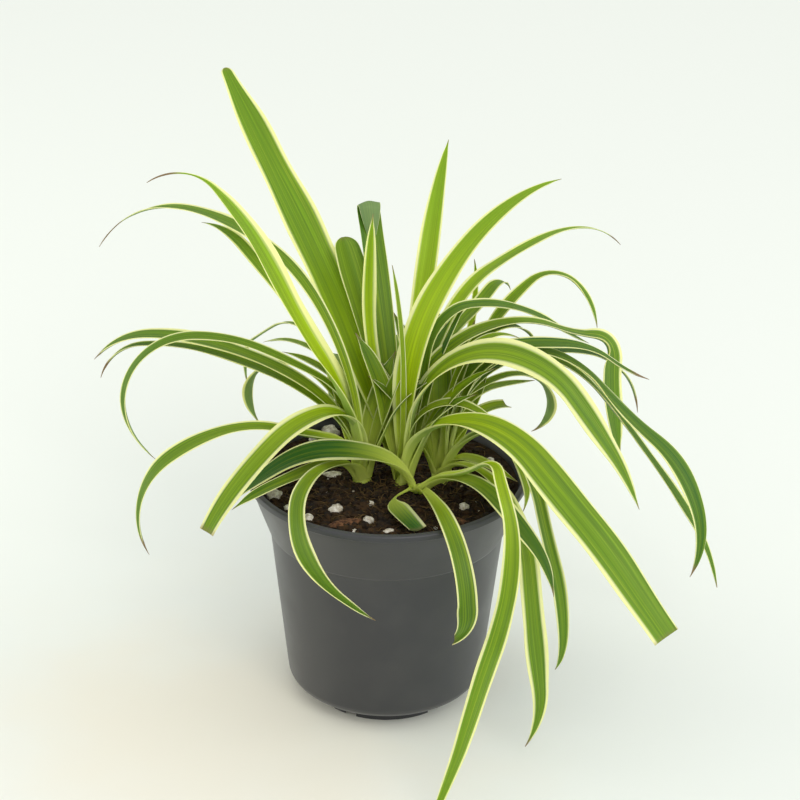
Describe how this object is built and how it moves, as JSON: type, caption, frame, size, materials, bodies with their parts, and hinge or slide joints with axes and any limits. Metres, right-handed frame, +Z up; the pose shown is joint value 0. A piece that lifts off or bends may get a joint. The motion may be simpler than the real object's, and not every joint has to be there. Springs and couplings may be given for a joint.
{
  "type": "potted spider plant",
  "caption": "Variegated spider plant with arching strap leaves in a tapered round plastic nursery pot filled with potting soil.",
  "frame": {"origin": "on the pot's axis, at the level that the pot stands on", "axes": "+Z up along the pot's axis, +X to the right in the picture, +Y away from the viewer"},
  "size_m": [0.3049, 0.2674, 0.2648],
  "materials": {
    "plastic": "charcoal moulded plastic, satin",
    "soil": "loose peat and coir with white perlite",
    "sheath": "pale waxy leaf base",
    "leaf": "waxy green leaf with cream margins"
  },
  "bodies": {
    "root": {"pot": "plastic", "soil": "soil", "crown_left": "sheath", "crown_middle": "sheath", "crown_right": "sheath", "crown_front": "sheath", "leaf_tall_left": "leaf", "leaf_light_left": "leaf", "leaf_upper_left_arc": "leaf", "leaf_upper_left_short": "leaf", "leaf_left_arc_upper": "leaf", "leaf_left_arc_lower": "leaf", "leaf_left_loop": "leaf", "leaf_left_low_arc": "leaf", "leaf_back_left_short": "leaf", "leaf_back_left_small": "leaf", "leaf_back_left_thin": "leaf", "leaf_back_left_curl": "leaf", "leaf_left_cut": "leaf", "leaf_front_left_dark": "leaf", "leaf_front_left_low": "leaf", "leaf_front_curl": "leaf", "leaf_front_short": "leaf", "leaf_front_folded": "leaf", "leaf_front_long": "leaf", "leaf_front_right_arc": "leaf", "leaf_front_right_long": "leaf", "leaf_right_narrow": "leaf", "leaf_right_small": "leaf", "leaf_right_hanging": "leaf", "leaf_right_broad_cut": "leaf", "leaf_right_arch": "leaf", "leaf_right_bent": "leaf", "leaf_right_upper_arch": "leaf", "leaf_right_tall": "leaf", "leaf_upright": "leaf", "leaf_right_light": "leaf", "leaf_right_thin_upright": "leaf", "leaf_back_right_bent": "leaf", "leaf_back_right_arch": "leaf", "leaf_back_right_droop": "leaf", "leaf_back_right_slim": "leaf", "leaf_right_dark_upper": "leaf", "leaf_right_dark_lower": "leaf", "leaf_far_right_inner": "leaf", "leaf_far_right_outer": "leaf", "leaf_right_curl": "leaf", "leaf_right_short_cut": "leaf", "leaf_right_short": "leaf", "leaf_right_low_arch": "leaf", "leaf_young_spear": "leaf", "leaf_bent_over": "leaf", "leaf_centre_spear": "leaf", "leaf_back_left_broad": "leaf", "leaf_centre_thin": "leaf", "leaf_centre_dried": "leaf", "leaf_rear_right": "leaf", "leaf_rear_middle": "leaf", "leaf_rear_left": "leaf"}
  },
  "joints": []
}
